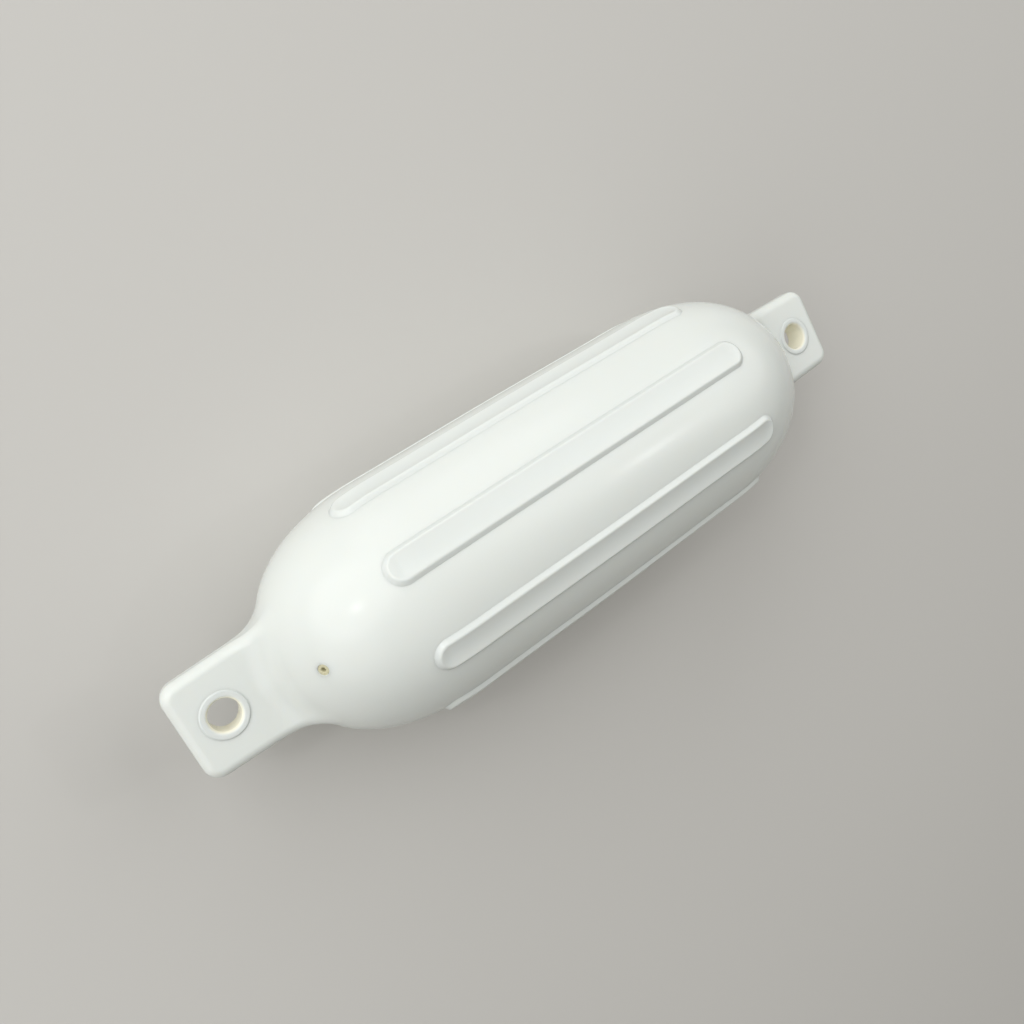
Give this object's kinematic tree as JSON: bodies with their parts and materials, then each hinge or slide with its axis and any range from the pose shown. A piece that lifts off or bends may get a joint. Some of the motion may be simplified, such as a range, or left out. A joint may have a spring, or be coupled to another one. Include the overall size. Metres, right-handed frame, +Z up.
{
  "type": "boat fender",
  "caption": "Inflatable cylindrical boat fender with domed ends, raised lengthwise ribs, a flat rope eye at each end and a needle valve in one dome.",
  "frame": {"origin": "middle of the fender's length and width, at the lowest line of the barrel, which it rests on", "axes": "+X along the fender, away from the end that holds the valve; +Y across; +Z up, square to the flat faces of the rope eyes"},
  "size_m": [0.4898, 0.1374, 0.1374],
  "materials": {
    "white_vinyl": "semi-gloss moulded vinyl, slightly translucent",
    "cream_rubber": "satin soft rubber"
  },
  "bodies": {
    "root": {"fender_body": "white_vinyl", "inflation_valve": "cream_rubber"}
  },
  "joints": []
}
